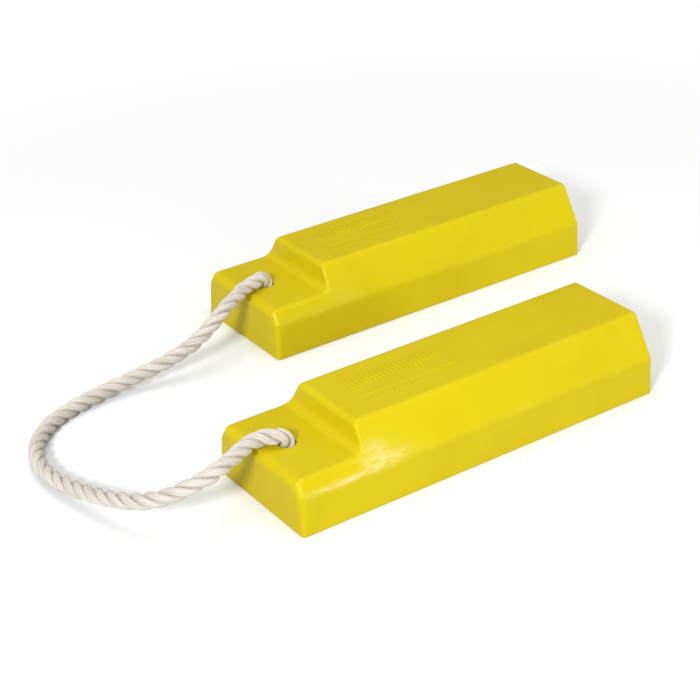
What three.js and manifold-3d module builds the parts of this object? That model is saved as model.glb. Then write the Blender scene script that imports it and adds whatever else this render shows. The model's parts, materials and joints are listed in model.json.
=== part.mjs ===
// A pair of moulded wheel chocks joined by one length of three-strand laid rope.
// Millimetres, +Z up. The origin is the centre of the near chock's underside, on the ground.
// +X runs along both chocks, from the low nose that holds the rope to the far end.

import * as THREE from 'three';
import { mergeVertices } from 'three/addons/utils/BufferGeometryUtils.js';
import Module from 'manifold-3d';

const wasm = await Module();
wasm.setup();

// ---- driving dimensions: the chock ----
const LENGTH = 508;
const BASE_WIDTH = 173;
const CREASE_WIDTH = 169.4; // across the sides where they turn into the sloped flanks
const TOP_WIDTH = 110;
const CREASE_HEIGHT = 48.2;
const HEIGHT = 98;
const NOSE_LENGTH = 90.5;
const NOSE_HEIGHT = 65.5;
const SHOULDER_LEAN = 1.5; // the shoulder leans back this much over its height
const NOSE_CORNER_RADIUS = 9; // the nose's upright corners
const NOSE_EDGE_RADIUS = 7; // the nose's top edge at its end
const SHOULDER_RADIUS = 7;
const SHOULDER_FILLET = 10;
const CREASE_RADIUS = 9;
const TOP_EDGE_RADIUS = 5;

// ---- driving dimensions: the rope hole and the knot's pocket under it ----
const HOLE_INSET = 39; // from the nose end to the hole's axis
const HOLE_RADIUS = 11;
const HOLE_LIP = 2; // flare at the hole's upper mouth
const POCKET_RADIUS = 29;
const POCKET_DEPTH = 44;
const KNOT_RADIUS = 25.5;
const KNOT_BOTTOM = 3;
const KNOT_TOP = 39.7;

// ---- driving dimensions: the rope ----
const ROPE_RADIUS = 9.4;
const LAY_LENGTH = 60; // one full turn of a strand, right-hand lay
const STRAND_GAP = 0.5; // between neighbouring strands
const LINK_CLEARANCE = 0.5; // left between two links when their joint is at its limit
const STRAND_SIDES = 6;
const DEGREES_PER_STEP = 22; // turn of the lay between two sections of a strand

// ---- where the far chock stands, relative to the near one ----
const FAR_CHOCK = new THREE.Vector3(196, 354, 0);

// ---- the rope's way: up out of the near hole, over the nose, round the ground, back to the far hole ----
// Each station is a point on the rope's centre line. One with a bend is a joint between two links,
// and its bend is the joint's largest turn in degrees.
const HOLE_X = -LENGTH / 2 + HOLE_INSET;
const ROPE_START = 40; // the rope leaves its knot at this height
const STATIONS = [
  { at: [HOLE_X, 0, ROPE_START] },
  { at: [HOLE_X, 0, 54] },
  { at: [-217, 0, 68] },
  { at: [-226, -1, 77.5] },
  { at: [-236, 5, 78] },
  { at: [-250, 8.5, 77.5] },
  { at: [-266, 3.5, 77.5], bend: 40 },
  { at: [-319, -17, 74.5], bend: 20 },
  { at: [-372, 6, 52], bend: 20 },
  { at: [-402, 66, 32], bend: 20 },
  { at: [-418, 133, 19], bend: 20 },
  { at: [-423, 196, 13], bend: 20 },
  { at: [-402, 257, 11], bend: 20 },
  { at: [-354, 299, 10], bend: 20 },
  { at: [-298, 314, 12], bend: 20 },
  { at: [-240, 315, 19], bend: 40 },
  { at: [-152, 301.5, 50], bend: 15 },
  { at: [-99, 314.5, 75.5], bend: 30 },
  { at: [-75, 328.5, 77.5] },
  { at: [-60, 338, 78] },
  { at: [-44, 343.5, 78] },
  { at: [-29, 349, 77.5] },
  { at: [-21, 353, 68] },
  { at: [HOLE_X + FAR_CHOCK.x, FAR_CHOCK.y, 54] },
  { at: [HOLE_X + FAR_CHOCK.x, FAR_CHOCK.y, ROPE_START] },
];

// ---- materials ----
const urethane = new THREE.MeshStandardMaterial({ color: '#e3c81c', roughness: 0.28, metalness: 0 });
const nylon = new THREE.MeshStandardMaterial({ color: '#efeadd', roughness: 0.75, metalness: 0 });

// ---- geometry helpers ----

// Closed outline through corners [x, y, radius]; a corner with a radius is an arc tangent to both sides.
function roundedOutline(corners) {
  const shape = new THREE.Shape();
  corners.forEach(([x, y, radius], i) => {
    const corner = new THREE.Vector2(x, y);
    const [px, py] = corners[(i + corners.length - 1) % corners.length];
    const [nx, ny] = corners[(i + 1) % corners.length];
    const toPrevious = new THREE.Vector2(px, py).sub(corner).normalize();
    const toNext = new THREE.Vector2(nx, ny).sub(corner).normalize();
    const half = Math.acos(toPrevious.dot(toNext)) / 2;
    const start = corner.clone().addScaledVector(toPrevious, radius / Math.tan(half));
    if (i === 0) shape.moveTo(start.x, start.y);
    else shape.lineTo(start.x, start.y);
    if (radius > 0) {
      const middle = toPrevious.clone().add(toNext).normalize();
      const centre = corner.clone().addScaledVector(middle, radius / Math.sin(half));
      const end = corner.clone().addScaledVector(toNext, radius / Math.tan(half));
      const from = Math.atan2(start.y - centre.y, start.x - centre.x);
      const to = Math.atan2(end.y - centre.y, end.x - centre.x);
      shape.absarc(centre.x, centre.y, radius, from, to, toPrevious.cross(toNext) > 0);
    }
  });
  shape.closePath();
  return shape;
}

// Solid of an outline, drawn in the plane of the first two axes and centred along the third.
function slab(corners, depth, [right, up, through]) {
  const options = { depth, bevelEnabled: false, curveSegments: 3 };
  const geometry = new THREE.ExtrudeGeometry(roundedOutline(corners), options);
  geometry.translate(0, 0, -depth / 2);
  return geometry.applyMatrix4(new THREE.Matrix4().makeBasis(right, up, through));
}

// Solid turned about the vertical axis from a profile of [radius, height] points.
function turned(profile, segments) {
  const points = profile.map(([radius, height]) => new THREE.Vector2(radius, height));
  return new THREE.LatheGeometry(points, segments).rotateX(Math.PI / 2);
}

function signedVolume(positions, triangles) {
  const [a, b, c] = [0, 1, 2].map(() => new THREE.Vector3());
  let volume = 0;
  for (let i = 0; i < triangles.length; i += 3) {
    a.fromArray(positions, 3 * triangles[i]);
    b.fromArray(positions, 3 * triangles[i + 1]);
    c.fromArray(positions, 3 * triangles[i + 2]);
    volume += a.dot(b.cross(c)) / 6;
  }
  return volume;
}

// Manifold solid of a closed geometry, with its faces pointing out.
function toSolid(geometry) {
  const bare = geometry.clone();
  bare.deleteAttribute('normal');
  bare.deleteAttribute('uv');
  const merged = mergeVertices(bare, 1e-3);
  const vertProperties = new Float32Array(merged.attributes.position.array);
  const triVerts = new Uint32Array(merged.index.array);
  if (signedVolume(vertProperties, triVerts) < 0) triVerts.reverse();
  return new wasm.Manifold(new wasm.Mesh({ numProp: 3, vertProperties, triVerts }));
}

function toGeometry(solid) {
  const { vertProperties, triVerts } = solid.getMesh();
  const geometry = new THREE.BufferGeometry();
  geometry.setAttribute('position', new THREE.BufferAttribute(vertProperties, 3));
  geometry.setIndex(new THREE.BufferAttribute(triVerts, 1));
  geometry.computeVertexNormals();
  return geometry;
}

function named(name, geometry, material) {
  const mesh = new THREE.Mesh(geometry, material);
  mesh.name = name;
  return mesh;
}

// ---- the chock block: its cross-section, side view and plan, each as a slab, cut to what they share ----
const X = new THREE.Vector3(1, 0, 0);
const Y = new THREE.Vector3(0, 1, 0);
const Z = new THREE.Vector3(0, 0, 1);

function crossSection() {
  const corners = [
    [-BASE_WIDTH / 2, 0, 0],
    [BASE_WIDTH / 2, 0, 0],
    [CREASE_WIDTH / 2, CREASE_HEIGHT, CREASE_RADIUS],
    [TOP_WIDTH / 2, HEIGHT, TOP_EDGE_RADIUS],
    [-TOP_WIDTH / 2, HEIGHT, TOP_EDGE_RADIUS],
    [-CREASE_WIDTH / 2, CREASE_HEIGHT, CREASE_RADIUS],
  ];
  return slab(corners, 2 * LENGTH, [Y, Z, X]);
}

function sideView() {
  const shoulder = -LENGTH / 2 + NOSE_LENGTH;
  const corners = [
    [-LENGTH / 2, 0, 0],
    [LENGTH / 2, 0, 0],
    [LENGTH / 2, HEIGHT, 0],
    [shoulder + SHOULDER_LEAN, HEIGHT, SHOULDER_RADIUS],
    [shoulder, NOSE_HEIGHT, SHOULDER_FILLET],
    [-LENGTH / 2, NOSE_HEIGHT, NOSE_EDGE_RADIUS],
  ];
  return slab(corners, 2 * BASE_WIDTH, [X, Z, Y.clone().negate()]);
}

function planView() {
  const corners = [
    [-LENGTH / 2, -BASE_WIDTH / 2, NOSE_CORNER_RADIUS],
    [LENGTH / 2, -BASE_WIDTH / 2, 0],
    [LENGTH / 2, BASE_WIDTH / 2, 0],
    [-LENGTH / 2, BASE_WIDTH / 2, NOSE_CORNER_RADIUS],
  ];
  return slab(corners, 3 * HEIGHT, [X, Y, Z]);
}

// What the rope and its knot take out of the nose: a pocket open below, a bore, and a flared mouth above.
function ropeCutter() {
  const profile = [
    [0, -1],
    [POCKET_RADIUS, -1],
    [POCKET_RADIUS, POCKET_DEPTH],
    [HOLE_RADIUS, POCKET_DEPTH],
    [HOLE_RADIUS, NOSE_HEIGHT - HOLE_LIP],
    [HOLE_RADIUS + 0.3 * HOLE_LIP, NOSE_HEIGHT - 0.3 * HOLE_LIP],
    [HOLE_RADIUS + HOLE_LIP, NOSE_HEIGHT],
    [HOLE_RADIUS + HOLE_LIP, HEIGHT],
    [0, HEIGHT],
  ];
  return turned(profile, 32).translate(HOLE_X, 0, 0);
}

function chockBlock() {
  const block = toSolid(crossSection()).intersect(toSolid(sideView())).intersect(toSolid(planView()));
  return toGeometry(block.subtract(toSolid(ropeCutter())));
}

// ---- the stopper knot: a plain rounded body that fills the knot's place in its pocket ----
function stopperKnot() {
  const middle = (KNOT_TOP + KNOT_BOTTOM) / 2;
  const halfHeight = (KNOT_TOP - KNOT_BOTTOM) / 2;
  const steps = 8;
  const profile = [];
  for (let i = 0; i <= steps; i += 1) {
    const angle = -Math.PI / 2 + (Math.PI * i) / steps;
    const radius = i % steps === 0 ? 0 : KNOT_RADIUS * Math.cos(angle) ** 0.6;
    profile.push([radius, middle + halfHeight * Math.sin(angle)]);
  }
  return turned(profile, 20).translate(HOLE_X, 0, 0);
}

// ---- the rope ----
const ropeLine = new THREE.CatmullRomCurve3(STATIONS.map(({ at }) => new THREE.Vector3(...at)));
ropeLine.arcLengthDivisions = 2000;
const ropeLength = ropeLine.getLength();
const ROPE_FRAMES = 1000;
const ropeFrames = ropeLine.computeFrenetFrames(ROPE_FRAMES);

// How far along the rope a station lies, as a share of its length.
function stationShare(index) {
  const lengths = ropeLine.getLengths();
  const place = (index / (STATIONS.length - 1)) * (lengths.length - 1);
  return lengths[Math.round(place)] / ropeLength;
}

// One link's stretch of the rope's centre line. Its frames turn with the lay, so an off-centre
// section swept along it winds round the centre line as a strand does, and its ends are cut square.
class LaidStretch extends THREE.Curve {
  constructor(from, to) {
    super();
    this.from = from;
    this.to = to;
  }

  share(t) {
    return this.from + t * (this.to - this.from);
  }

  getPoint(t, target = new THREE.Vector3()) {
    return ropeLine.getPointAt(this.share(t), target);
  }

  computeFrenetFrames(steps) {
    const frames = { tangents: [], normals: [], binormals: [] };
    for (let i = 0; i <= steps; i += 1) {
      const share = this.share(i / steps);
      const nearest = Math.round(share * ROPE_FRAMES);
      const tangent = ropeLine.getTangentAt(share);
      const turn = (2 * Math.PI * share * ropeLength) / LAY_LENGTH;
      const normal = ropeFrames.normals[nearest].clone();
      normal.addScaledVector(tangent, -normal.dot(tangent)).normalize().applyAxisAngle(tangent, turn);
      frames.tangents.push(tangent);
      frames.normals.push(normal);
      frames.binormals.push(new THREE.Vector3().crossVectors(tangent, normal));
    }
    return frames;
  }
}

// Three equal strands touch but for their gap, inside the rope's radius.
const SIN_60 = Math.sin(Math.PI / 3);
const STRAND_OFFSET = (ROPE_RADIUS + STRAND_GAP / 2) / (1 + SIN_60);
const STRAND_RADIUS = ROPE_RADIUS - STRAND_OFFSET;

function strand(stretch, angle) {
  const centre = [STRAND_OFFSET * Math.cos(angle), STRAND_OFFSET * Math.sin(angle)];
  const section = new THREE.Shape();
  section.absarc(...centre, STRAND_RADIUS, angle, angle + 2 * Math.PI, false);
  const turnDegrees = (360 * (stretch.to - stretch.from) * ropeLength) / LAY_LENGTH;
  const steps = Math.ceil(turnDegrees / DEGREES_PER_STEP);
  const options = { steps, extrudePath: stretch, bevelEnabled: false, curveSegments: STRAND_SIDES / 2 };
  return toGeometry(toSolid(new THREE.ExtrudeGeometry(section, options)));
}

// Half of the gap between two links: the inner side of the bend closes by this much.
function halfGap(bend) {
  return ROPE_RADIUS * Math.tan(THREE.MathUtils.degToRad(bend) / 2) + LINK_CLEARANCE / 2;
}

function ropeLinks() {
  const joints = STATIONS.map((station, index) => ({ bend: station.bend, share: stationShare(index) }));
  const cuts = joints.filter(({ bend }) => bend);
  const links = [];
  for (let i = 0; i <= cuts.length; i += 1) {
    const from = i === 0 ? 0 : cuts[i - 1].share + halfGap(cuts[i - 1].bend) / ropeLength;
    const to = i === cuts.length ? 1 : cuts[i].share - halfGap(cuts[i].bend) / ropeLength;
    const label = i === 0 ? 'rope_near_end' : i === cuts.length ? 'rope_far_end' : `rope_link_${i}`;
    const stretch = new LaidStretch(from, to);
    ['a', 'b', 'c'].forEach((letter, k) => {
      links.push(named(`${label}_strand_${letter}`, strand(stretch, (2 * Math.PI * k) / 3), nylon));
    });
  }
  return links;
}

// ---- assembly ----
const block = chockBlock();
const knot = toGeometry(toSolid(stopperKnot()));

const nearSide = new THREE.Group();
nearSide.add(named('near_chock_block', block, urethane));
nearSide.add(named('near_stopper_knot', knot, nylon));

const farSide = new THREE.Group();
farSide.position.copy(FAR_CHOCK);
farSide.add(named('far_chock_block', block, urethane));
farSide.add(named('far_stopper_knot', knot, nylon));

const chockPair = new THREE.Group();
chockPair.add(nearSide, farSide, ...ropeLinks());

export default chockPair;
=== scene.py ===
# Two cast urethane wheel chocks on one length of three-strand rope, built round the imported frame.
# Metres, +Z up, in the frame's own axes: +X runs along both chocks from the nose that holds the rope.

import json
import math

import bmesh
import bpy
import numpy as np
from mathutils import Matrix, Vector


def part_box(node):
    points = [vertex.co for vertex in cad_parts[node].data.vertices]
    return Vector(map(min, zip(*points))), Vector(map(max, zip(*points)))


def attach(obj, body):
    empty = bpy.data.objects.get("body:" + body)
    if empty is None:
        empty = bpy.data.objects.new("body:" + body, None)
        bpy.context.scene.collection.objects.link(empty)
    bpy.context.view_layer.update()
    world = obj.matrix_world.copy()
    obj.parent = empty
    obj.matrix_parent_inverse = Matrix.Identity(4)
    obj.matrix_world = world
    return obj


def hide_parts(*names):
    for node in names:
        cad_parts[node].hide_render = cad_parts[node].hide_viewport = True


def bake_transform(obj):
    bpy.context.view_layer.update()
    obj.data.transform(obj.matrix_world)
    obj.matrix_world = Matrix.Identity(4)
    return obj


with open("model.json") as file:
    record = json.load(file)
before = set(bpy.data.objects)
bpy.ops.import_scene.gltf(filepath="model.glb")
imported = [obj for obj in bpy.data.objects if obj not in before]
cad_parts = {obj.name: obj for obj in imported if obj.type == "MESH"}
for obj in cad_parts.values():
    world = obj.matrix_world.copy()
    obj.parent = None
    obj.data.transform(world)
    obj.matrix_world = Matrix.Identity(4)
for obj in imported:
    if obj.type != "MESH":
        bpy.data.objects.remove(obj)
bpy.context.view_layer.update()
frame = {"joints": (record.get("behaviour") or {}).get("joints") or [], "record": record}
MM = 0.001

# ---- the chock: driving dimensions ----
block_low, block_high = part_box("near_chock_block")
LENGTH, BASE_WIDTH, HEIGHT = block_high - block_low
CREASE_WIDTH = 169.4 * MM
CREASE_HEIGHT = 48.2 * MM
TOP_WIDTH = 110 * MM
NOSE_LENGTH = 90.5 * MM
NOSE_HEIGHT = 65.5 * MM
SHOULDER_LEAN = 1.5 * MM
END_X = LENGTH / 2
SHOULDER_X = NOSE_LENGTH - END_X

# How far each edge's rounding reaches, measured on the flat face beside it
FLANK_CREASE_REACH = 3.8 * MM
TOP_EDGE_REACH = 4.6 * MM
SHOULDER_FOOT_REACH = 10 * MM
SHOULDER_TOP_REACH = 7 * MM
NOSE_EDGE_REACH_AT_TOP = 12 * MM
NOSE_EDGE_REACH_AT_FLOOR = 4 * MM
FAR_END_REACH = 1.2 * MM
UNDERSIDE_REACH = 0.8 * MM

# ---- the rope's hole and pocket ----
HOLE_RADIUS = 10.6 * MM
HOLE_LIP = 1.2 * MM  # radius of the rounding at the hole's upper mouth
POCKET_RADIUS = 29 * MM
POCKET_DEPTH = 44 * MM
POCKET_CORNER = 4 * MM  # radius between the pocket's wall and its roof
POCKET_FLARE = 2.5 * MM  # how much wider the pocket is at the underside
POCKET_FLARE_HEIGHT = 1.5 * MM
BORE_FOOT_RADIUS = 2 * MM  # rounding where the bore meets the pocket's roof

# ---- the raised pattern on the top face ----
RELIEF_ROWS = [  # in millimetres: the first bar's x, the pitch, y, width, depth, and how many bars
    (-120, 6.4, 16.5, 3.6, 22, 20),
    (-57, 0, -15, 130, 2, 1),
    (-123, 5, -27, 3, 5, 16),
]
RELIEF_SUNK = 1 * MM
RELIEF_PROUD = 0.7 * MM
RELIEF_CORNER_SHARE = 0.3  # of a bar's narrower side
RELIEF_RIM = 0.4 * MM

# ---- the rope ----
ROPE_RADIUS = 9.5 * MM
LAY_LENGTH = 60 * MM
STRANDS = 3
STRAND_OFFSET = 5.05 * MM  # from the rope's centre line to a strand's
YARNS = 9  # yarns that show round a strand
YARN_RIDGE = 0.4 * MM  # half the height from valley to crest
CREST_BREADTH = 0.7  # below 1 the crests are broad and the valleys between them narrow
COLUMNS_PER_YARN = 6
YARN_TURNS_PER_LAY = -0.9
STRAND_HALF_WIDTH = 4.9 * MM  # along the rope's surface, before the yarn ridges
STRAND_HALF_DEPTH = ROPE_RADIUS - STRAND_OFFSET - YARN_RIDGE
STRAND_SQUARENESS = 2.5  # 2 is an ellipse; pressed strands are a little squarer
RING_STEP = 1.4 * MM
COLUMNS = YARNS * COLUMNS_PER_YARN
FIBRE_SHIFT = 0.1  # metres, between the places where the strands read their fibres' noise

# A laid rope is a little uneven: its lay wanders, in radians,
# and its strands swell, as a share of their size
LAY_WANDER = 0.05
WANDER_LENGTH = 23 * MM
WANDER_SHIFT = 2.1  # from strand to strand
SWELL = 0.02
SWELL_LENGTH = 31 * MM
SWELL_SHIFT = 4.4

# ---- the frame's joints ----
JOINTS = {joint["name"]: joint for joint in frame["joints"]}


def place_of(joint_name):
    return np.array(JOINTS[joint_name]["pos_m"], float)


NEAR_HOLE = place_of("near_swivel")
FAR_HOLE = place_of("far_swivel")


# ---- small helpers ----


def unit(vectors):
    return vectors / np.linalg.norm(vectors, axis=-1, keepdims=True)


def eased(count):
    """Shares from 0 to 1 that crowd together at both ends."""
    return 0.5 - 0.5 * np.cos(np.linspace(0, math.pi, count + 1))


def eased_out(count):
    """Shares from 0 to 1 that crowd together at 1."""
    return np.sin(np.linspace(0, math.pi / 2, count + 1))


def new_object(name, points, faces, smooth=True):
    """A mesh object from points and faces, linked to the scene."""
    mesh = bpy.data.meshes.new(name)
    mesh.from_pydata([tuple(p) for p in points], [], [tuple(f) for f in faces])
    mesh.polygons.foreach_set("use_smooth", [smooth] * len(mesh.polygons))
    mesh.update()
    obj = bpy.data.objects.new(name, mesh)
    bpy.context.scene.collection.objects.link(obj)
    return obj


def mesh_points(obj):
    points = np.zeros(len(obj.data.vertices) * 3)
    obj.data.vertices.foreach_get("co", points)
    return points.reshape(-1, 3)


def store(mesh, name, values):
    """Keeps one number or one vector per vertex, for the materials to read."""
    values = np.asarray(values, np.float32)
    if values.ndim == 1:
        mesh.attributes.new(name, "FLOAT", "POINT").data.foreach_set("value", values)
    else:
        mesh.attributes.new(name, "FLOAT_VECTOR", "POINT").data.foreach_set("vector", values.ravel())


def turned_solid(name, profile, segments):
    """Closed solid turned about +Z from a profile of (radius, height) that starts and ends on the axis."""
    angles = np.linspace(0, 2 * math.pi, segments, endpoint=False)
    inner = profile[1:-1]
    points = [(r * math.cos(a), r * math.sin(a), z) for r, z in inner for a in angles]
    faces = []
    for level in range(len(inner) - 1):
        for i in range(segments):
            j = (i + 1) % segments
            low, high = level * segments, (level + 1) * segments
            faces.append((low + i, low + j, high + j, high + i))
    faces.append(tuple(reversed(range(segments))))
    faces.append(tuple(range((len(inner) - 1) * segments, len(inner) * segments)))
    return new_object(name, points, faces)


def boolean(obj, tool, operation):
    """Joins the tool to obj or cuts it away, and removes the tool."""
    modifier = obj.modifiers.new(operation, "BOOLEAN")
    modifier.object = tool
    modifier.operation = operation
    modifier.solver = "EXACT"
    bpy.context.view_layer.update()
    evaluated = obj.evaluated_get(bpy.context.evaluated_depsgraph_get())
    mesh = bpy.data.meshes.new_from_object(evaluated)
    obj.modifiers.clear()
    obj.data = mesh
    bpy.data.objects.remove(tool)


# ---- the chock's rounded shape, as a function that is zero on its surface and negative inside ----


def rounded_max(a, b, reach):
    """What lies inside both a and b, its edge rounded over the given reach."""
    near_a = np.maximum(a + reach, 0)
    near_b = np.maximum(b + reach, 0)
    return np.minimum(np.maximum(a, b), -reach) + np.hypot(near_a, near_b)


def rounded_min(a, b, reach):
    """What lies inside a or b, the corner between them filled over the given reach."""
    return -rounded_max(-a, -b, reach)


def plane_in_section(y, z, low, high):
    """Distance outside the line from low to high, two (half width, height) points of the cross-section."""
    run, rise = high[0] - low[0], high[1] - low[1]
    size = math.hypot(run, rise)
    return ((y - low[0]) * rise - (z - low[1]) * run) / size


FLOOR_CORNER = (BASE_WIDTH / 2, 0)
CREASE_CORNER = (CREASE_WIDTH / 2, CREASE_HEIGHT)
TOP_CORNER = (TOP_WIDTH / 2, HEIGHT)
SLOPE_TURN = math.atan2(CREASE_CORNER[0] - TOP_CORNER[0], TOP_CORNER[1] - CREASE_CORNER[1])


def chock_planes(points):
    """How far outside each of the chock's flat faces the points lie."""
    x, y, z = points.T
    side = plane_in_section(np.abs(y), z, FLOOR_CORNER, CREASE_CORNER)
    slope = plane_in_section(np.abs(y), z, CREASE_CORNER, TOP_CORNER)
    lean = SHOULDER_LEAN * (z - NOSE_HEIGHT) / (HEIGHT - NOSE_HEIGHT)
    shoulder = SHOULDER_X + lean - x
    return side, slope, shoulder, z - NOSE_HEIGHT, z - HEIGHT, -x - END_X, x - END_X, -z


def chock_shape(points):
    """Zero on the rounded chock's surface, negative inside and positive outside."""
    side, slope, shoulder, nose_top, top, nose_end, far_end, underside = chock_planes(points)
    z = points[:, 2]
    stepped = rounded_min(nose_top, shoulder, SHOULDER_FOOT_REACH)
    roof = rounded_max(stepped, top, SHOULDER_TOP_REACH)
    flank = rounded_max(side, slope, FLANK_CREASE_REACH * math.sin(SLOPE_TURN))
    section = rounded_max(roof, flank, TOP_EDGE_REACH * math.cos(SLOPE_TURN))
    share = np.clip(z / NOSE_HEIGHT, 0, 1)
    nose_reach = NOSE_EDGE_REACH_AT_FLOOR + share * (NOSE_EDGE_REACH_AT_TOP - NOSE_EDGE_REACH_AT_FLOOR)
    nosed = rounded_max(section, nose_end, nose_reach)
    ended = rounded_max(nosed, far_end, FAR_END_REACH)
    return rounded_max(ended, underside, UNDERSIDE_REACH)


def settle_on(shape, points, rounds=12):
    """Moves each point along the shape's slope until it lies on its surface."""
    nudge = 1e-5  # metres
    least_steep = 0.05  # keeps a step short where the shape is nearly level
    for _ in range(rounds):
        value = shape(points)
        slope = np.empty_like(points)
        for axis in range(3):
            offset = np.zeros(3)
            offset[axis] = nudge
            slope[:, axis] = (shape(points + offset) - shape(points - offset)) / (2 * nudge)
        steep = np.maximum((slope**2).sum(1), least_steep)
        points = points - (value / steep)[:, None] * slope
    return points


# ---- the chock's mesh: rings round the sharp-edged block, then settled on the rounded shape ----
FACES_ACROSS_FLAT = 14  # half the underside, and half the top
FACES_UP_SIDE = 20
FACES_UP_SLOPE = 24
FACES_ALONG_NOSE = 26
FACES_ROUND_FOOT = 9
FACES_UP_SHOULDER = 5
FACES_ROUND_BROW = 8
FACES_ALONG_BODY = 40
FACES_INTO_END = 14

# While the rings' tops climb the shoulder, their lower parts walk on evenly between these two distances
WALK_BEFORE_SHOULDER = 37 * MM
WALK_PAST_SHOULDER = 43 * MM
EVENED_PAST_SHOULDER = 60 * MM  # the faces are evened out from the nose to here
EVENED_SOFTLY_ALONG = 20 * MM
EVENED_ABOVE = 8 * MM  # the rounding at the underside is left as it is
EVENED_SOFTLY_UP = 10 * MM


def half_outline(x_low, x_top, top_height):
    """Half a ring, from the middle of the underside round to the middle of the top."""
    crease_to_top = (top_height - CREASE_HEIGHT) / (HEIGHT - CREASE_HEIGHT)
    top_half = CREASE_WIDTH / 2 - crease_to_top * (CREASE_WIDTH - TOP_WIDTH) / 2
    points = [(x_low, t * BASE_WIDTH / 2, 0) for t in eased_out(FACES_ACROSS_FLAT)]
    for t in eased(FACES_UP_SIDE)[1:]:
        points.append((x_low, BASE_WIDTH / 2 + t * (CREASE_WIDTH - BASE_WIDTH) / 2, t * CREASE_HEIGHT))
    for t in eased(FACES_UP_SLOPE)[1:]:
        half_width = CREASE_WIDTH / 2 + t * (top_half - CREASE_WIDTH / 2)
        height = CREASE_HEIGHT + t * (top_height - CREASE_HEIGHT)
        points.append((x_low + t * (x_top - x_low), half_width, height))
    points += [(x_top, t * top_half, top_height) for t in eased_out(FACES_ACROSS_FLAT)[-2::-1]]
    return points


def ring(x_low, x_top, top_height):
    """A ring round the sharp-edged block. It leans where x_low and x_top differ."""
    half = half_outline(x_low, x_top, top_height)
    other_half = [(x, -y, z) for x, y, z in reversed(half[1:-1])]
    return np.array(half + other_half)


def corner_arc(corner, before, after, reach, count):
    """Points round a corner, from the side it is reached by to the side it is left by."""
    corner, before, after = (np.array(p, float) for p in (corner, before, after))
    back, on = unit(before - corner), unit(after - corner)
    turn = np.linspace(0, math.pi / 2, count + 1)[:, None]
    return corner + reach * ((1 - np.sin(turn)) * back + (1 - np.cos(turn)) * on)


def roof_line():
    """The upper outline from the side, (x, z) from nose to far end, and where its climb starts and ends."""
    nose, far = (-END_X, NOSE_HEIGHT), (END_X, HEIGHT)
    foot, brow = (SHOULDER_X, NOSE_HEIGHT), (SHOULDER_X + SHOULDER_LEAN, HEIGHT)
    up_foot = corner_arc(foot, nose, brow, SHOULDER_FOOT_REACH, FACES_ROUND_FOOT)
    over_brow = corner_arc(brow, foot, far, SHOULDER_TOP_REACH, FACES_ROUND_BROW)
    nose_top = [nose + t * (up_foot[0] - nose) for t in eased(FACES_ALONG_NOSE)[:-1]]
    face_steps = np.linspace(0, 1, FACES_UP_SHOULDER + 1)[1:-1]
    face = [up_foot[-1] + t * (over_brow[0] - up_foot[-1]) for t in face_steps]
    body_top = [over_brow[-1] + t * (far - over_brow[-1]) for t in eased(FACES_ALONG_BODY)[1:]]
    climb = [*up_foot, *face, *over_brow]
    return np.array([*nose_top, *climb, *body_top]), len(nose_top), len(nose_top) + len(climb)


def chock_rings():
    """Rings from the nose to the far end. They lean while they climb the shoulder."""
    roof, climb_start, climb_end = roof_line()
    walk_from, walk_to = SHOULDER_X - WALK_BEFORE_SHOULDER, SHOULDER_X + WALK_PAST_SHOULDER
    roof_x = roof[:, 0]
    marks = [-END_X, roof_x[climb_start], roof_x[climb_end - 1], END_X]
    low_x = np.interp(roof_x, marks, [-END_X, walk_from, walk_to, END_X])
    low_x[climb_start:climb_end] = np.linspace(walk_from, walk_to, climb_end - climb_start)
    return [ring(low, x, z) for low, (x, z) in zip(low_x, roof)]


def end_rings(outline):
    """Rings of an end face, shrinking from its outline towards the middle."""
    middle = np.array([outline[0][0], 0, outline[:, 2].max() / 2])
    inward = 1 - eased_out(FACES_INTO_END)[::-1][1:-1]
    return [middle + (1 - t) * (outline - middle) for t in inward]


def evened_out(rings, rounds=24):
    """Settles the rings, then spreads their points round the nose, so that no face folds over."""
    shape = rings.shape
    rings = settle_on(chock_shape, rings.reshape(-1, 3)).reshape(shape)
    before_limit = SHOULDER_X + EVENED_PAST_SHOULDER - rings[..., 0]
    near_nose = np.clip(before_limit / EVENED_SOFTLY_ALONG, 0, 1)
    above_edge = np.clip((rings[..., 2] - EVENED_ABOVE) / EVENED_SOFTLY_UP, 0, 1)
    share = (0.5 * near_nose * above_edge)[..., None]
    for _ in range(rounds):
        around = (np.roll(rings, 1, axis=1) + np.roll(rings, -1, axis=1)) / 2
        along = rings.copy()
        along[1:-1] = (rings[:-2] + rings[2:]) / 2
        rings = rings + share * ((around + along) / 2 - rings)
        rings = settle_on(chock_shape, rings.reshape(-1, 3), rounds=2).reshape(shape)
    return rings


def chock_mesh(name):
    """The rounded block, without its hole and relief: rings from end to end, closed by two small faces."""
    body = chock_rings()
    rings = end_rings(body[0])[::-1] + body + end_rings(body[-1])
    size = len(body[0])
    points = evened_out(np.array(rings)).reshape(-1, 3)
    faces = []
    for level in range(len(rings) - 1):
        for i in range(size):
            j = (i + 1) % size
            low, high = level * size, (level + 1) * size
            faces.append((low + i, high + i, high + j, low + j))
    faces.append(tuple(range(size)))
    faces.append(tuple(reversed(range(len(points) - size, len(points)))))
    return new_object(name, points, faces)


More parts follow.
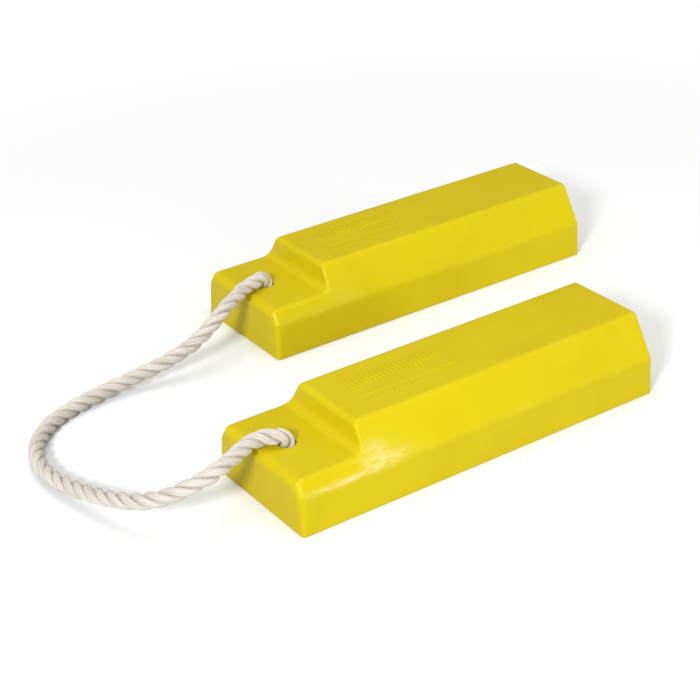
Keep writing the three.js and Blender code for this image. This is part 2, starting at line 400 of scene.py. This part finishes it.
def rope_cutter():
    """The pocket under the nose, the bore and its flared upper mouth."""
    overshoot = 0.15 * MM  # so that the flare cuts cleanly through the nose's top
    mouth_centre = (HOLE_RADIUS + HOLE_LIP, NOSE_HEIGHT - HOLE_LIP + overshoot)
    below = -1 * MM
    profile = [(0, below), (POCKET_RADIUS + POCKET_FLARE, below), (POCKET_RADIUS, POCKET_FLARE_HEIGHT)]
    for t in np.linspace(0, math.pi / 2, 7):
        radius = POCKET_RADIUS - POCKET_CORNER * (1 - math.cos(t))
        profile.append((radius, POCKET_DEPTH - POCKET_CORNER * (1 - math.sin(t))))
    for t in np.linspace(0, math.pi / 2, 5):
        radius = HOLE_RADIUS + BORE_FOOT_RADIUS * (1 - math.sin(t))
        profile.append((radius, POCKET_DEPTH + BORE_FOOT_RADIUS * (1 - math.cos(t))))
    for t in np.linspace(0, math.pi / 2, 13):
        radius = mouth_centre[0] - HOLE_LIP * math.cos(t)
        profile.append((radius, mouth_centre[1] + HOLE_LIP * math.sin(t)))
    profile += [(mouth_centre[0], HEIGHT), (0, HEIGHT)]
    cutter = turned_solid("rope_cutter", profile, 96)
    cutter.location.x = NEAR_HOLE[0]
    return cutter


def relief_bars():
    """A plain raised pattern for the top face: a row of tall bars, a long rule, and a row of short bars."""
    build = bmesh.new()
    bars = []
    for first, pitch, y, width, depth, count in RELIEF_ROWS:
        bars += [(first + pitch * i, y, width, depth) for i in range(count)]
    for x, y, width, depth in bars:
        part = bmesh.ops.create_cube(build, size=1)["verts"]
        centre = Vector((x * MM, y * MM, HEIGHT + (RELIEF_PROUD - RELIEF_SUNK) / 2))
        stretch = Matrix.Diagonal((width * MM, depth * MM, RELIEF_PROUD + RELIEF_SUNK, 1))
        bmesh.ops.transform(build, matrix=Matrix.Translation(centre) @ stretch, verts=part)
        edges = [edge for edge in build.edges if edge.verts[0] in part]
        upright = [edge for edge in edges if abs(edge.verts[0].co.z - edge.verts[1].co.z) > MM]
        corner = min(width, depth) * RELIEF_CORNER_SHARE * MM
        bmesh.ops.bevel(build, geom=upright, offset=corner, segments=4, affect="EDGES", profile=0.5)
    rim = [edge for edge in build.edges if all(vert.co.z > HEIGHT for vert in edge.verts)]
    bmesh.ops.bevel(build, geom=rim, offset=RELIEF_RIM, segments=3, affect="EDGES", profile=0.5)
    mesh = bpy.data.meshes.new("relief")
    build.to_mesh(mesh)
    build.free()
    obj = bpy.data.objects.new("relief", mesh)
    bpy.context.scene.collection.objects.link(obj)
    return obj


EDGE_FADE = 3 * MM


def edge_nearness(points):
    """1 on an edge between two faces, falling to 0 within a few millimetres of it."""
    side, slope, shoulder, nose_top, top, nose_end, far_end, _ = chock_planes(points)
    roof = np.maximum(np.minimum(nose_top, shoulder), top)
    faces = np.sort(np.stack([side, slope, roof, nose_end, far_end]), axis=0)
    return np.exp(faces[-2] / EDGE_FADE)


# ---- rope geometry ----
SPLINE_SAMPLES = 60  # between two points of a rope's line
FIRST_NORMAL_SQUARE_TO = (0.3, 1, 0.2)  # any direction that no rope starts along
OUTLINE_SAMPLES = 720
OUTLINE_NEIGHBOURS = 4  # samples on each side that a strand section's direction is taken from


def smooth_line(points, step):
    """The natural cubic spline through the points, sampled evenly, and how far along it each point lies."""
    points = np.asarray(points, float)
    knots = np.concatenate([[0], np.cumsum(np.linalg.norm(np.diff(points, axis=0), axis=1))])
    gaps = np.diff(knots)
    system = np.eye(len(points))
    right = np.zeros_like(points)
    for i in range(1, len(points) - 1):
        system[i, i - 1 : i + 2] = gaps[i - 1], 2 * (gaps[i - 1] + gaps[i]), gaps[i]
        slopes = (points[i + 1] - points[i]) / gaps[i] - (points[i] - points[i - 1]) / gaps[i - 1]
        right[i] = 6 * slopes
    bends = np.linalg.solve(system, right)
    dense, marks = [], [0]
    for i, gap in enumerate(gaps):
        t = np.linspace(0, 1, SPLINE_SAMPLES, endpoint=i == len(gaps) - 1)[:, None]
        line = (1 - t) * points[i] + t * points[i + 1]
        line += gap**2 / 6 * (((1 - t) ** 3 - (1 - t)) * bends[i] + (t**3 - t) * bends[i + 1])
        dense.append(line)
        marks.append(marks[-1] + len(line))
    marks[-1] -= 1
    dense = np.concatenate(dense)
    travelled = np.concatenate([[0], np.cumsum(np.linalg.norm(np.diff(dense, axis=0), axis=1))])
    even = np.linspace(0, travelled[-1], max(2, round(travelled[-1] / step)) + 1)
    line = np.stack([np.interp(even, travelled, dense[:, axis]) for axis in range(3)], axis=1)
    return line, even, travelled[marks]


def carried_frames(line):
    """Tangents, and two directions square to them that turn no more than the line does."""
    tangents = unit(np.gradient(line, axis=0))
    normals = np.empty_like(line)
    normal = np.cross(tangents[0], FIRST_NORMAL_SQUARE_TO)
    for i, tangent in enumerate(tangents):
        normal = normal - normal.dot(tangent) * tangent
        normal /= np.linalg.norm(normal)
        normals[i] = normal
    return tangents, normals, np.cross(tangents, normals)


def yarn_ridges():
    """The height of each column of a strand's surface: rounded crests with narrow valleys between them."""
    across = np.arange(COLUMNS) / COLUMNS_PER_YARN
    return YARN_RIDGE * (2 * np.abs(np.sin(math.pi * across)) ** CREST_BREADTH - 1)


def strand_outline(shares):
    """A strand's section at shares of the way round it: points, and the directions out of it."""
    angle = np.linspace(0, 2 * math.pi, OUTLINE_SAMPLES + 1)
    wave = np.stack([np.cos(angle), np.sin(angle)], axis=1)
    halves = np.array([STRAND_HALF_DEPTH, STRAND_HALF_WIDTH])
    outline = halves * np.sign(wave) * np.abs(wave) ** (2 / STRAND_SQUARENESS)
    travelled = np.concatenate([[0], np.cumsum(np.linalg.norm(np.diff(outline, axis=0), axis=1))])
    ahead = np.roll(outline[:-1], -OUTLINE_NEIGHBOURS, axis=0)
    behind = np.roll(outline[:-1], OUTLINE_NEIGHBOURS, axis=0)
    heading = unit(ahead - behind)
    outward = np.stack([heading[:, 1], -heading[:, 0]], axis=1)[np.r_[0:OUTLINE_SAMPLES, 0]]
    place = (shares % 1) * travelled[-1]
    points = np.stack([np.interp(place, travelled, outline[:, k]) for k in range(2)], axis=-1)
    directions = np.stack([np.interp(place, travelled, outward[:, k]) for k in range(2)], axis=-1)
    return points, directions


def strand_surface(line, distance, frames, strand, scale):
    """Rings of points round one strand as it winds along the rope, and how deep each lies in the rope."""
    _, normals, binormals = frames
    wander = LAY_WANDER * np.sin(distance / WANDER_LENGTH + WANDER_SHIFT * strand)
    lay = 2 * math.pi * (distance / LAY_LENGTH + strand / STRANDS) + wander
    outward = np.cos(lay)[:, None] * normals + np.sin(lay)[:, None] * binormals
    around = np.cos(lay)[:, None] * binormals - np.sin(lay)[:, None] * normals
    turn = YARN_TURNS_PER_LAY * distance / LAY_LENGTH
    section, raised = strand_outline(turn[:, None] + np.arange(COLUMNS) / COLUMNS)
    swell = 1 + SWELL * np.sin(distance / SWELL_LENGTH + SWELL_SHIFT * strand)[:, None, None]
    section = scale * (section * swell + raised * yarn_ridges()[:, None])
    section[..., 0] += scale * STRAND_OFFSET
    points = line[:, None] + section[..., :1] * outward[:, None] + section[..., 1:] * around[:, None]
    depth = 1 - np.linalg.norm(section, axis=-1) / (ROPE_RADIUS * scale)
    return points, depth


def surface_normals(points):
    """Outward normals of a tube of rings."""
    along = np.gradient(points, axis=0)
    across = np.roll(points, -1, axis=1) - np.roll(points, 1, axis=1)
    return unit(np.cross(across, along))


def yarn_tints(strand):
    """A shade for each column of a strand: each yarn its own."""
    shades = np.random.default_rng(11 + strand).uniform(-1, 1, YARNS)
    return np.repeat(shades, COLUMNS_PER_YARN)


def tube_faces(base, rings):
    """Faces of a tube whose points start at number base: its wall, then its first end and its last."""
    faces = []
    for level in range(rings - 1):
        for i in range(COLUMNS):
            j = (i + 1) % COLUMNS
            low, high = base + level * COLUMNS, base + (level + 1) * COLUMNS
            faces.append((low + i, low + j, high + j, high + i))
    faces.append(tuple(range(base + COLUMNS - 1, base - 1, -1)))
    end = base + (rings - 1) * COLUMNS
    faces.append(tuple(range(end, end + COLUMNS)))
    return faces


def fibre_places(strand, distance):
    """Where the fibres' noise is read: round the strand and along the rope, elsewhere for each strand."""
    turn = np.linspace(0, 2 * math.pi, COLUMNS, endpoint=False)
    circle = np.stack([np.cos(turn), np.sin(turn)], axis=1) * STRAND_HALF_WIDTH
    places = np.zeros((len(distance), COLUMNS, 3))
    places[..., :2] = circle + FIBRE_SHIFT * strand
    places[..., 2] = distance[:, None]
    return places.reshape(-1, 3)


def shade_strands(mesh, normals):
    """Shades the strands by the given normals, one for each vertex, and leaves their cut ends flat."""
    corner_vertex = np.zeros(len(mesh.loops), int)
    mesh.loops.foreach_get("vertex_index", corner_vertex)
    corner_normals = np.array(normals)[corner_vertex]
    for face in mesh.polygons:
        if face.loop_total > 4:
            face.use_smooth = False
            corner_normals[face.loop_start : face.loop_start + face.loop_total] = 0
    mesh.normals_split_custom_set([tuple(normal) for normal in corner_normals])


class Rope:
    """A laid rope along a line. Pieces cut from it meet without a seam."""

    def __init__(self, points, scale=1.0):
        self.line, self.distance, self.marks = smooth_line(points, RING_STEP)
        frames = carried_frames(self.line)
        self.strands = []
        for strand in range(STRANDS):
            surface, depth = strand_surface(self.line, self.distance, frames, strand, scale)
            self.strands.append((surface, depth, surface_normals(surface)))

    def ring_at(self, distance):
        """The number of the ring nearest to a distance along the rope."""
        return int(round(distance / (self.distance[1] - self.distance[0])))

    def piece(self, name, first, last):
        """The rope between two rings, each strand closed at both ends."""
        points, faces, normals, depths, tints, fibres = [], [], [], [], [], []
        part = slice(first, last + 1)
        rings = last - first + 1
        for strand, (surface, depth, normal) in enumerate(self.strands):
            faces += tube_faces(len(points), rings)
            points.extend(surface[part].reshape(-1, 3))
            normals.extend(normal[part].reshape(-1, 3))
            depths.append(depth[part].ravel())
            tints.append(np.tile(yarn_tints(strand), rings))
            fibres.append(fibre_places(strand, self.distance[part]))
        obj = new_object(name, points, faces)
        store(obj.data, "rope_depth", np.concatenate(depths))
        store(obj.data, "yarn_tint", np.concatenate(tints))
        store(obj.data, "yarn_crest", np.tile(yarn_ridges() / YARN_RIDGE, rings * STRANDS))
        store(obj.data, "fibre_place", np.concatenate(fibres))
        shade_strands(obj.data, normals)
        obj.data.materials.append(NYLON)
        return obj


# ---- material helpers ----


def add(tree, kind, settings=None, **inputs):
    """A node with its settings and inputs. An input is a value or another node's output socket."""
    node = tree.nodes.new(kind)
    for name, value in (settings or {}).items():
        setattr(node, name, value)
    for name, value in inputs.items():
        feed(tree, node.inputs[name.replace("_", " ")], value)
    return node


def feed(tree, socket, value):
    """Sets an input socket to a value, or links another node's output socket to it."""
    if isinstance(value, bpy.types.NodeSocket):
        tree.links.new(value, socket)
    else:
        socket.default_value = value


def calc(tree, operation, a, b=0.0, clamp=False):
    node = add(tree, "ShaderNodeMath", {"operation": operation, "use_clamp": clamp})
    feed(tree, node.inputs[0], a)
    feed(tree, node.inputs[1], b)
    return node.outputs[0]


def attribute(tree, name, output="Fac"):
    return add(tree, "ShaderNodeAttribute", {"attribute_name": name}).outputs[output]


def noise(tree, place, scale, detail=3.0, roughness=0.5, distortion=0.0):
    """Noise with the given number of patches per metre."""
    node = add(tree, "ShaderNodeTexNoise", Vector=place, Scale=scale, Detail=detail)
    feed(tree, node.inputs["Roughness"], roughness)
    feed(tree, node.inputs["Distortion"], distortion)
    return node.outputs["Fac"]


def remap(tree, value, low, high, to_low=0.0, to_high=1.0):
    """A smooth step from to_low to to_high as value goes from low to high."""
    settings = {"interpolation_type": "SMOOTHSTEP", "clamp": True}
    node = add(tree, "ShaderNodeMapRange", settings, Value=value)
    for name, number in zip(("From Min", "From Max", "To Min", "To Max"), (low, high, to_low, to_high)):
        feed(tree, node.inputs[name], number)
    return node.outputs["Result"]


def blend_colours(tree, share, first, second):
    """The first colour at share 0, the second at share 1."""
    node = add(tree, "ShaderNodeMix", {"data_type": "RGBA"})
    feed(tree, node.inputs[0], share)
    feed(tree, node.inputs[6], first)
    feed(tree, node.inputs[7], second)
    return node.outputs[2]


def scaled_place(tree, place, scale):
    node = add(tree, "ShaderNodeVectorMath", {"operation": "MULTIPLY"})
    feed(tree, node.inputs[0], place)
    feed(tree, node.inputs[1], scale)
    return node.outputs[0]


def bump(tree, height, distance, normal=None):
    """A bump whose full height is the given distance in metres."""
    node = add(tree, "ShaderNodeBump", Height=height, Distance=distance, Strength=1.0)
    if normal is not None:
        feed(tree, node.inputs["Normal"], normal)
    return node.outputs["Normal"]


def new_material(name):
    """An empty material, its node tree and its shader."""
    material = bpy.data.materials.new(name)
    material.use_nodes = True
    tree = material.node_tree
    tree.nodes.clear()
    shader = add(tree, "ShaderNodeBsdfPrincipled")
    output = add(tree, "ShaderNodeOutputMaterial")
    tree.links.new(shader.outputs["BSDF"], output.inputs["Surface"])
    return material, tree, shader


# ---- materials ----
YELLOW = (0.595, 0.485, 0.003, 1)
DEEP_YELLOW = (0.56, 0.442, 0.003, 1)
# painted highlight too: this pale colour serves for scuffs and wear and also for the glint along the
# flank's lower crease
SCUFF_AND_HIGHLIGHT_WHITE = (0.74, 0.68, 0.30, 1)
GLOSS_TINT = (1, 0.94, 0.5, 1)  # what the urethane mirrors is warmer than the light itself
ROPE_CREAM = (0.665, 0.637, 0.588, 1)
ROPE_SHADE = (0.53, 0.495, 0.45, 1)
# painted shade: the darker colours of the yarns' valleys and of the grooves between the strands
ROPE_VALLEY_SHADE = (0.44, 0.39, 0.35, 1)
ROPE_GROOVE_SHADE = (0.46, 0.41, 0.37, 1)


def urethane_material():
    """Glossy cast urethane: faint flow clouds, orange peel, pale wear along its edges, and pale patches on
    the flank that are partly scuffs and partly a painted highlight along the lower crease.
    """
    material, tree, shader = new_material("urethane")
    place = attribute(tree, "chock_place", "Vector")
    clouds = noise(tree, place, 9, 4, 0.55, 0.6)
    colour = blend_colours(tree, remap(tree, clouds, 0.35, 0.75, 0, 0.7), YELLOW, DEEP_YELLOW)
    streaks = noise(tree, scaled_place(tree, place, (45, 110, 110)), 1, 5, 0.7, 0.6)
    edge = remap(tree, attribute(tree, "edge_nearness"), 0.25, 0.95, 0, 0.14)
    worn = calc(tree, "MULTIPLY", remap(tree, streaks, 0.5, 0.7), edge)
    patch = attribute(tree, "scuff_and_highlight_patch")
    scuffed_and_highlit = calc(tree, "MULTIPLY", remap(tree, streaks, 0.36, 0.62, 0.25, 1), patch)
    pale_wear_and_highlight = calc(tree, "ADD", worn, scuffed_and_highlit, clamp=True)
    # pale scuffs and edge wear, together with a painted highlight and reflection on the flank and along its
    # lower crease
    colour = blend_colours(tree, calc(tree, "MULTIPLY", pale_wear_and_highlight, 0.75), colour, SCUFF_AND_HIGHLIGHT_WHITE)
    feed(tree, shader.inputs["Base Color"], colour)
    smears = noise(tree, scaled_place(tree, place, (12, 30, 30)), 1, 4, 0.5, 0.6)
    dulled = calc(tree, "MULTIPLY", pale_wear_and_highlight, 0.2)
    roughness = calc(tree, "ADD", remap(tree, smears, 0.3, 0.8, 0.33, 0.45), dulled)
    feed(tree, shader.inputs["Roughness"], roughness)
    feed(tree, shader.inputs["Specular IOR Level"], 0.3)
    feed(tree, shader.inputs["Specular Tint"], GLOSS_TINT)
    waves = bump(tree, noise(tree, place, 22, 2, 0.4), 0.2 * MM)
    peel = bump(tree, noise(tree, place, 380, 2, 0.5), 0.012 * MM, waves)
    scratches = noise(tree, scaled_place(tree, place, (90, 1100, 1100)), 1, 3, 0.6, 0.5)
    marks = bump(tree, remap(tree, scratches, 0.66, 0.8), 0.012 * MM, peel)
    feed(tree, shader.inputs["Normal"], marks)
    return material


def rope_material():
    """White filament nylon: silky fibres along the yarns, each yarn its own shade, and painted shade in the
    valleys between the yarns and in the grooves between the strands.
    """
    material, tree, shader = new_material("rope_nylon")
    place = attribute(tree, "fibre_place", "Vector")
    fibres = noise(tree, scaled_place(tree, place, (8500, 8500, 160)), 1, 3, 0.65)
    patches = noise(tree, place, 45, 3, 0.5)
    shade = calc(tree, "MULTIPLY", calc(tree, "ADD", fibres, patches), 0.5)
    shade = calc(tree, "ADD", shade, calc(tree, "MULTIPLY", attribute(tree, "yarn_tint"), 0.07))
    colour = blend_colours(tree, remap(tree, shade, 0.35, 0.68), ROPE_CREAM, ROPE_SHADE)
    # painted shade in the valleys between the yarns
    valley_shade = remap(tree, attribute(tree, "yarn_crest"), -1, 0.2, 0.75, 0)
    colour = blend_colours(tree, valley_shade, colour, ROPE_VALLEY_SHADE)
    # painted shade where the surface lies deep, in the grooves between the strands
    groove_shade = remap(tree, attribute(tree, "rope_depth"), 0.14, 0.45)
    colour = blend_colours(tree, groove_shade, colour, ROPE_GROOVE_SHADE)
    feed(tree, shader.inputs["Base Color"], colour)
    feed(tree, shader.inputs["Roughness"], remap(tree, fibres, 0.3, 0.7, 0.38, 0.55))
    feed(tree, shader.inputs["Sheen Weight"], 0.2)
    feed(tree, shader.inputs["Sheen Roughness"], 0.4)
    feed(tree, shader.inputs["Normal"], bump(tree, fibres, 0.05 * MM))
    return material


URETHANE = urethane_material()
NYLON = rope_material()

# ---- the chocks ----
SHARP_FROM = math.radians(38)  # edges that turn more than this are shaded as edges
FAR_CHOCK_SCUFF_AND_HIGHLIGHT = 0.12  # the far chock has hardly any scuffs or painted highlight
GRAIN_SHIFT = 3  # times its offset: how far the far chock's grain is moved from the near one's

# Where the flank is painted pale, partly as scuffs and partly as painted highlight and reflection; the last
# row is the painted highlight along the lower crease. Each row is a strength and then, in millimetres, the
# height above the crease and its spread, and the distance past the shoulder and its spread.
SCUFFS_AND_HIGHLIGHTS = [
    (0.9, 13, 12, 13, 17),
    (0.6, 6, 7, 34, 24),
    (0.9, 0.5, 3, -30, 48),
]
SCUFF_AND_HIGHLIGHT_LIMIT = 1.2
FLANK_DEPTH = 0.6 * MM  # the rounding of an edge still counts as flank down to here


def scuff_and_highlight_patch(points):
    """How much each point is painted pale, as scuffs and as painted highlight. Only the flank that faces
    away from the other chock is.
    """
    x, y, z = points.T
    scuffed_and_highlit = np.zeros(len(points))
    for strength, up, up_spread, along, along_spread in SCUFFS_AND_HIGHLIGHTS:
        off_up = (z - CREASE_HEIGHT - up * MM) / (up_spread * MM)
        off_along = (x - SHOULDER_X - along * MM) / (along_spread * MM)
        scuffed_and_highlit += strength * np.exp(-(off_up**2) - off_along**2)
    side, slope = chock_planes(points)[:2]
    on_flank = (y < 0) & (np.maximum(side, slope) > -FLANK_DEPTH)
    return np.where(on_flank, np.clip(scuffed_and_highlit, 0, SCUFF_AND_HIGHLIGHT_LIMIT), 0)


def chock(body, offset, scuff_and_highlight_strength):
    """One chock, made at the near one's place and moved by the offset. It rides on its body."""
    obj = chock_mesh(body)
    boolean(obj, rope_cutter(), "DIFFERENCE")
    boolean(obj, relief_bars(), "UNION")
    obj.data.set_sharp_from_angle(angle=SHARP_FROM)
    points = mesh_points(obj)
    store(obj.data, "chock_place", points + GRAIN_SHIFT * offset)
    store(obj.data, "edge_nearness", edge_nearness(points))
    # scuffs and painted highlight on the flank, weaker on the far chock
    store(obj.data, "scuff_and_highlight_patch", scuff_and_highlight_patch(points) * scuff_and_highlight_strength)
    obj.data.materials.clear()
    obj.data.materials.append(URETHANE)
    obj.location = offset
    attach(obj, body)
    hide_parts(f"{body}_block")


chock("near_chock", np.zeros(3), 1)
chock("far_chock", FAR_HOLE - NEAR_HOLE, FAR_CHOCK_SCUFF_AND_HIGHLIGHT)

# ---- the rope's way, through the joints of the frame and over each nose ----
BENDS = [f"rope_bend_{i}" for i in range(1, 9)]
LINK_JOINTS = ["loop_lift", *BENDS, "loop_lift_return", "far_turn", "far_chock_lift"]
START_BELOW_JOINT = 14 * MM
END_PIECE_GAP = 24 * MM  # from the rope's two end pieces to the outer joints

# The arches over the noses, in millimetres from the near hole's joint and from the far one's
NEAR_ARCH = [(-1, 0, 14), (-11, -1, 23.5), (-21, 5, 24), (-35, 8.5, 23.5)]
FAR_ARCH = [(-56, -25.5, 23.5), (-41, -16, 24), (-25, -10.5, 24), (-10, -5, 23.5), (-1, -0.5, 14)]


def rope_points():
    """Up out of the near hole, over its nose, through the links' joints, and down into the far hole."""
    down = np.array([0, 0, START_BELOW_JOINT])
    near = [NEAR_HOLE - down, NEAR_HOLE] + [NEAR_HOLE + MM * np.array(p) for p in NEAR_ARCH]
    far = [FAR_HOLE + MM * np.array(p) for p in FAR_ARCH] + [FAR_HOLE, FAR_HOLE - down]
    return near + [place_of(name) for name in LINK_JOINTS] + far


def strands_of(body):
    """The names of the CAD's three rope strands on a body."""
    return [node for node in frame["record"]["behaviour"]["bodies"][body] if "strand" in node]


def rope_end(rope, body, first, last):
    """The rope from a knot up to the first piece that spans a joint. It rides on its own body."""
    obj = rope.piece(body, first, last)
    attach(obj, body)
    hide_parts(*strands_of(body))


def rope_across(rope, joint, first, last):
    """A length of rope that spans the joint, from ring first to ring last."""
    obj = rope.piece(f"rope_at_{joint['name']}", first, last)
    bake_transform(obj)
    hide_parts(*strands_of(joint["child"]))


def build_rope():
    """The whole rope, cut halfway between its joints so that each piece spans one of them."""
    rope = Rope(rope_points())
    first_joint = 2 + len(NEAR_ARCH)
    at_joint = rope.marks[first_joint : first_joint + len(LINK_JOINTS)]
    cuts = [at_joint[0] - END_PIECE_GAP]
    cuts += [(a + b) / 2 for a, b in zip(at_joint, at_joint[1:])]
    cuts += [at_joint[-1] + END_PIECE_GAP]
    rings = [rope.ring_at(cut) for cut in cuts]
    rope_end(rope, "rope_near_end", 0, rings[0])
    for i, name in enumerate(LINK_JOINTS):
        rope_across(rope, JOINTS[name], rings[i], rings[i + 1])
    rope_end(rope, "rope_far_end", rings[-1], len(rope.line) - 1)


build_rope()

# ---- the stopper knots ----
KNOT_SCALE = 0.92  # the rope is pulled tight in its knot
KNOT_TURN_RADIUS = 17  # millimetres, as are the knot's points below
KNOT_TURN_FOOT = 13
KNOT_TURN_RISE = 16
KNOT_OVERLAP = 2  # how far the knot's rope reaches up into the standing rope


def knot_points(top):
    """Down through the middle, once round the outside, and out past the standing part. Millimetres."""
    path = [(0, 0, top), (0, 0, 33), (-1, 0, 22), (4, 1, 13.5)]
    turns = [math.radians(angle) for angle in range(20, 340, 40)]
    for i, turn in enumerate(turns):
        height = KNOT_TURN_FOOT + KNOT_TURN_RISE * i / (len(turns) - 1)
        path.append((KNOT_TURN_RADIUS * math.cos(turn), KNOT_TURN_RADIUS * math.sin(turn), height))
    path += [(14, -9, 22), (6, -14, 14), (-4, -14, 12), (-14, -9, 12.5)]
    return path


def stopper_knot(side, hole):
    """The knot below a hole. It rides with the rope's end."""
    top = (hole[2] - START_BELOW_JOINT) / MM + KNOT_OVERLAP
    points = MM * np.array(knot_points(top)) + np.array([hole[0], hole[1], 0])
    knot = Rope(points, KNOT_SCALE)
    obj = knot.piece(f"{side}_knot", 0, len(knot.line) - 1)
    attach(obj, f"rope_{side}_end")
    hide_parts(f"{side}_stopper_knot")


stopper_knot("near", NEAR_HOLE)
stopper_knot("far", FAR_HOLE)

# ---- stage: floor, light, camera ----
WHITE = (1, 1, 1, 1)
BLACK = (0, 0, 0, 1)
FLOOR_RADIUS = 3.4
FLOOR_CORNERS = 96
FLOOR_COLOUR = (0.87, 0.91, 0.94, 1)
FLOOR_BOUNCE = (0.5, 0.5, 0.5, 1)  # what it gives back to the chocks, so that their sides aren't flooded
FLOOR_DROP = 0.2 * MM  # below the undersides, so that the two don't share a plane
FADE_START = 0.7  # from here outwards the floor turns into the white studio behind it
FADE_END = 1.6
WORLD_LIGHT = 0.65
WORLD_TINT = (1, 0.94, 0.88, 1)  # shade is warmer than what the lights reach
WORLD_IN_REFLECTIONS = 0.15  # the studio beyond the lights is dimmer than the light it gives
WORLD_BEHIND = 1.0  # what the camera sees past the floor
LIT_POINT = Vector((0, 0.1, 0))  # near the middle of the pair


def pale_floor():
    """A disc that fills the photo's view. Beyond it the white world shows."""
    turns = [2 * math.pi * i / FLOOR_CORNERS for i in range(FLOOR_CORNERS)]
    rim = [(FLOOR_RADIUS * math.cos(turn), FLOOR_RADIUS * math.sin(turn), 0) for turn in turns]
    obj = new_object("floor", rim, [range(FLOOR_CORNERS)], smooth=False)
    material, tree, shader = new_material("pale_floor")
    seen = add(tree, "ShaderNodeLightPath").outputs["Is Camera Ray"]
    distance = add(tree, "ShaderNodeVectorMath", {"operation": "LENGTH"})
    feed(tree, distance.inputs[0], add(tree, "ShaderNodeNewGeometry").outputs["Position"])
    fade = calc(tree, "MULTIPLY", seen, remap(tree, distance.outputs["Value"], FADE_START, FADE_END))
    colour = blend_colours(tree, seen, FLOOR_BOUNCE, FLOOR_COLOUR)
    feed(tree, shader.inputs["Base Color"], blend_colours(tree, fade, colour, BLACK))
    feed(tree, shader.inputs["Roughness"], 0.8)
    feed(tree, shader.inputs["Specular IOR Level"], 0.2)
    feed(tree, shader.inputs["Emission Color"], WHITE)
    feed(tree, shader.inputs["Emission Strength"], calc(tree, "MULTIPLY", fade, WORLD_BEHIND))
    obj.data.materials.append(material)
    obj.location.z = -FLOOR_DROP


def area_light(name, place, size, power, mirrored=True):
    """A round soft light that faces the pair. The camera doesn't see it, but it may be mirrored."""
    light = bpy.data.lights.new(name, "AREA")
    light.shape = "DISK"
    light.size = size
    light.energy = power
    obj = bpy.data.objects.new(name, light)
    obj.location = place
    obj.rotation_euler = (LIT_POINT - obj.location).to_track_quat("-Z", "Y").to_euler()
    obj.visible_camera = False
    obj.visible_glossy = mirrored
    bpy.context.scene.collection.objects.link(obj)


def studio_light():
    """A bright world that shows dimmer in reflections, and four soft lights."""
    world = bpy.data.worlds.new("studio")
    world.use_nodes = True
    tree = world.node_tree
    rays = add(tree, "ShaderNodeLightPath")
    glossy, camera = rays.outputs["Is Glossy Ray"], rays.outputs["Is Camera Ray"]
    strength = remap(tree, glossy, 0, 1, WORLD_LIGHT, WORLD_IN_REFLECTIONS)
    strength = calc(tree, "ADD", strength, calc(tree, "MULTIPLY", camera, WORLD_BEHIND - WORLD_LIGHT))
    background = tree.nodes["Background"]
    feed(tree, background.inputs["Color"], blend_colours(tree, camera, WORLD_TINT, WHITE))
    feed(tree, background.inputs["Strength"], strength)
    bpy.context.scene.world = world
    area_light("key", (-2.9, -1.9, 2.0), size=0.7, power=112)
    area_light("top", (0.1, 0.2, 3.2), size=2.2, power=27)
    area_light("front_low", (0.1, -3.4, 0.6), size=1.2, power=10, mirrored=False)
    area_light("front_right_low", (2.2, -2.6, 0.6), size=1.2, power=32, mirrored=False)


CAMERA_PLACE = (-1.048, -1.3802, 1.0434)
CAMERA_HEADING = 0.98198  # radians from +X towards +Y
CAMERA_DROP = 0.49314  # radians below the horizon
CAMERA_ROLL = -0.040823
FOCAL_LENGTH = 87.52
SENSOR_WIDTH = 36


def photo_camera():
    """The camera that the photo was taken with, as fitted to the chocks' straight edges."""
    level = math.cos(CAMERA_DROP)
    across = (level * math.cos(CAMERA_HEADING), level * math.sin(CAMERA_HEADING))
    ahead = Vector((*across, -math.sin(CAMERA_DROP)))
    right = ahead.cross(Vector((0, 0, 1))).normalized()
    up = right.cross(ahead)
    rolled_right = math.cos(CAMERA_ROLL) * right + math.sin(CAMERA_ROLL) * up
    rolled_up = math.cos(CAMERA_ROLL) * up - math.sin(CAMERA_ROLL) * right
    turn = Matrix((rolled_right, rolled_up, -ahead)).transposed()
    camera = bpy.data.cameras.new("photo_camera")
    camera.lens = FOCAL_LENGTH
    camera.sensor_width = SENSOR_WIDTH
    obj = bpy.data.objects.new("photo_camera", camera)
    obj.matrix_world = Matrix.Translation(CAMERA_PLACE) @ turn.to_4x4()
    bpy.context.scene.collection.objects.link(obj)
    bpy.context.scene.camera = obj


pale_floor()
studio_light()
photo_camera()
bpy.context.scene.view_settings.view_transform = "Standard"
